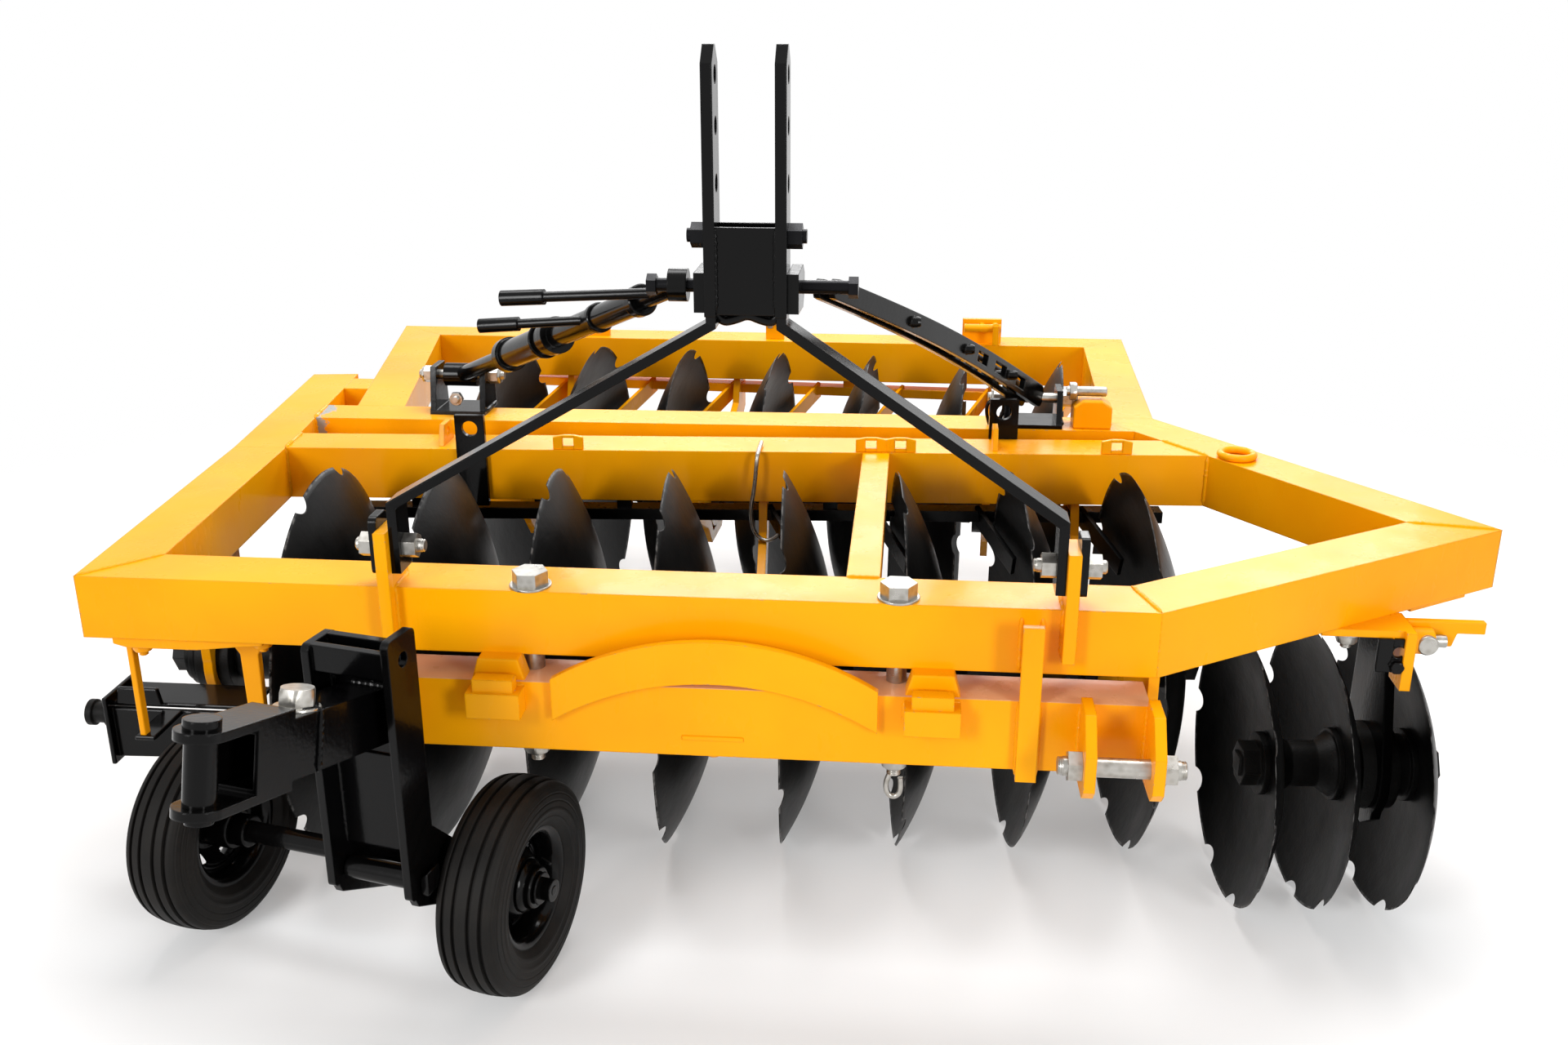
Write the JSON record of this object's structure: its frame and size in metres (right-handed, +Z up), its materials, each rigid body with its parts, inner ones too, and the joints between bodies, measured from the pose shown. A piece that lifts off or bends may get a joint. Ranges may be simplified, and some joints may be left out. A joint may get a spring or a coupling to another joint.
{
  "type": "mounted disc harrow with a two-wheel cart",
  "caption": "Mounted disc harrow: yellow tube frame, two gangs of notched concave discs, black three-point mast with stays, and a small two-wheel tow cart at the left lower hitch.",
  "frame": {"origin": "middle of the bounding box at the ground, under the discs and wheels", "axes": "+X along the front beam to the machine's left, -Y forward towards the tractor, +Z up"},
  "size_m": [2.332, 2.3272, 1.376],
  "materials": {
    "yellow_paint": "glossy orange-yellow enamel",
    "black_paint": "glossy black enamel",
    "disc_steel": "thin black paint on spring steel",
    "cast_iron": "black painted casting",
    "zinc": "zinc plated",
    "tyre_rubber": "ribbed rubber"
  },
  "bodies": {
    "frame": {"beam_tabs": "yellow_paint", "ear_bolts": "zinc", "ear_flats": "black_paint", "frame_bolts": "zinc", "front_beam": "yellow_paint", "front_beam_ears": "yellow_paint", "front_braces": "black_paint", "front_cross_beam": "yellow_paint", "front_gang_bearings": "cast_iron", "front_gang_hangers": "yellow_paint", "gang_scrapers": "yellow_paint", "hitch_beam": "yellow_paint", "hitch_beam_plates": "yellow_paint", "hitch_clevises": "yellow_paint", "hitch_pins": "zinc", "hook_levers": "black_paint", "left_front_side_beam": "yellow_paint", "left_link_beam": "yellow_paint", "left_rear_side_beam": "yellow_paint", "left_stay": "black_paint", "lifting_ring": "yellow_paint", "mast_box": "black_paint", "mast_pins": "zinc", "mast_plates": "black_paint", "mast_rear_lugs": "black_paint", "middle_cross_beam": "yellow_paint", "rear_beam": "yellow_paint", "rear_beam_brackets": "yellow_paint", "rear_gang_bearings": "cast_iron", "rear_gang_hangers": "yellow_paint", "rear_left_beam": "yellow_paint", "rear_right_beam": "yellow_paint", "right_stay": "black_paint", "right_wing_front_beam": "yellow_paint", "right_wing_rear_beam": "yellow_paint", "ring_strut": "yellow_paint", "stay_brackets": "black_paint", "wing_gang_bearings": "cast_iron", "wing_gang_hangers": "yellow_paint", "wing_pin": "zinc", "wing_plates": "yellow_paint"},
    "front_gang": {"front_gang_discs": "disc_steel", "front_gang_shaft": "cast_iron", "front_gang_spools": "cast_iron"},
    "rear_gang": {"rear_gang_discs": "disc_steel", "rear_gang_shaft": "cast_iron", "rear_gang_spools": "cast_iron"},
    "wing_gang": {"wing_gang_discs": "disc_steel", "wing_gang_shaft": "cast_iron", "wing_gang_spools": "cast_iron"},
    "cart": {"axle_nuts": "zinc", "cart_arm": "black_paint", "cart_axle": "black_paint", "cart_tow_pin": "black_paint", "cart_uprights": "black_paint"},
    "left_wheel": {"left_rim": "black_paint", "left_tyre": "tyre_rubber"},
    "right_wheel": {"right_rim": "black_paint", "right_tyre": "tyre_rubber"}
  },
  "joints": [
    {"name": "front_gang_turns", "type": "hinge", "parent": "frame", "child": "front_gang", "pos_m": [-0.046, -0.18781, 0.33], "axis": [0.9978, 0.0669, 0], "continuous": true},
    {"name": "rear_gang_turns", "type": "hinge", "parent": "frame", "child": "rear_gang", "pos_m": [-0.046, 0.72659, 0.33], "axis": [0.9985, -0.0549, 0], "continuous": true},
    {"name": "wing_gang_turns", "type": "hinge", "parent": "frame", "child": "wing_gang", "pos_m": [-0.046, -0.39041, 0.235], "axis": [0.9978, 0.0669, 0], "continuous": true},
    {"name": "cart_swings", "type": "hinge", "parent": "frame", "child": "cart", "pos_m": [-0.603, -0.71441, 0.421], "axis": [1, 0, 0], "range_deg": [-6, 0]},
    {"name": "left_wheel_turns", "type": "hinge", "parent": "cart", "child": "left_wheel", "pos_m": [-0.90134, -0.56552, 0.165], "axis": [0.9744, -0.225, 0], "continuous": true},
    {"name": "right_wheel_turns", "type": "hinge", "parent": "cart", "child": "right_wheel", "pos_m": [-0.37518, -0.68699, 0.165], "axis": [0.9744, -0.225, 0], "continuous": true}
  ]
}
